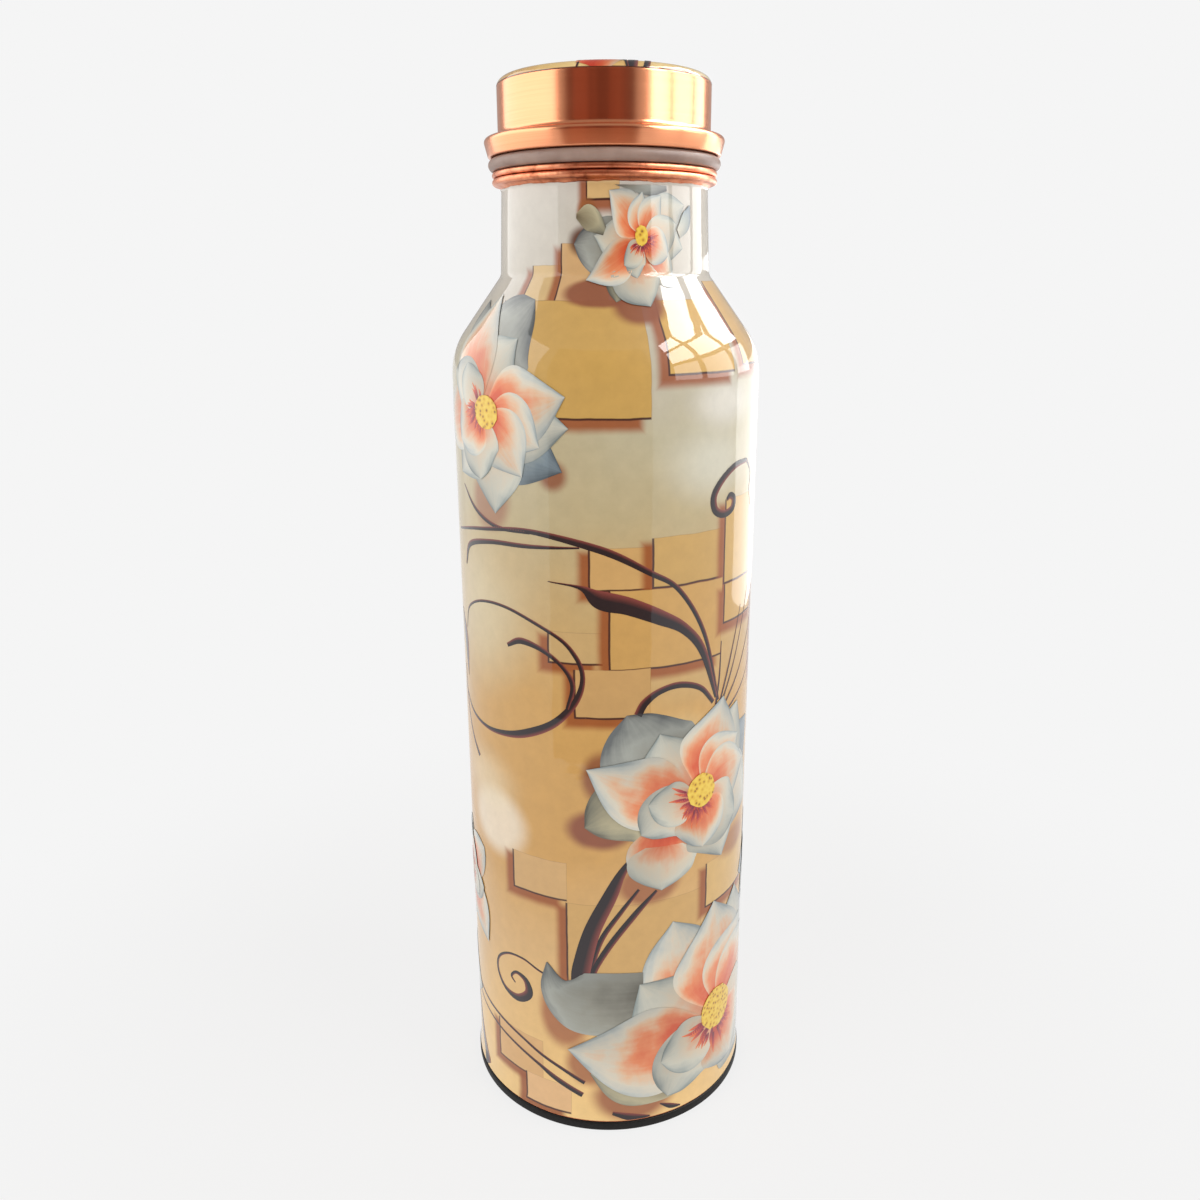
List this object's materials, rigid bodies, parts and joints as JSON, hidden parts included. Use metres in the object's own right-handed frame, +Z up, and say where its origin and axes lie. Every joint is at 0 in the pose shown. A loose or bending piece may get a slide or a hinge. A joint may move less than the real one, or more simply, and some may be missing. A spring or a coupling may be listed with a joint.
{
  "type": "water bottle",
  "caption": "Tall cylindrical copper water bottle with a printed body, a short threaded neck and a flanged screw cap with a silicone seal.",
  "frame": {"origin": "middle of the rubber pad's underside, where the bottle rests", "axes": "+Z up along the bottle's axis; the side with the large flower on its shoulder faces -Y"},
  "size_m": [0.0762, 0.0762, 0.2604],
  "materials": {
    "copper": "brushed bare copper with light tarnish",
    "printed_film": "printed floral film under glossy clear lacquer",
    "cap_film": "printed disc under glossy clear lacquer",
    "silicone": "translucent silicone",
    "pad_rubber": "matt dark rubber"
  },
  "bodies": {
    "bottle": {"bottle_shell": "copper", "neck_collar": "copper", "base_plate": "copper", "base_pad": "pad_rubber", "print_sleeve": "printed_film"},
    "seal": {"cap_seal": "silicone"},
    "cap": {"cap_drum": "copper", "cap_plug": "copper", "cap_print_disc": "cap_film"}
  },
  "joints": [
    {"name": "cap_lift", "type": "slide", "parent": "bottle", "child": "seal", "axis": [0, 0, 1], "range_m": [0, 0.012]},
    {"name": "cap_turn", "type": "hinge", "parent": "seal", "child": "cap", "pos_m": [0, 0, 0.24], "axis": [0, 0, 1], "range_deg": [0, 1440]}
  ],
  "couplings": [
    {"joint": "cap_lift", "follows": "cap_turn", "m_per_rad": 0.00047746}
  ]
}
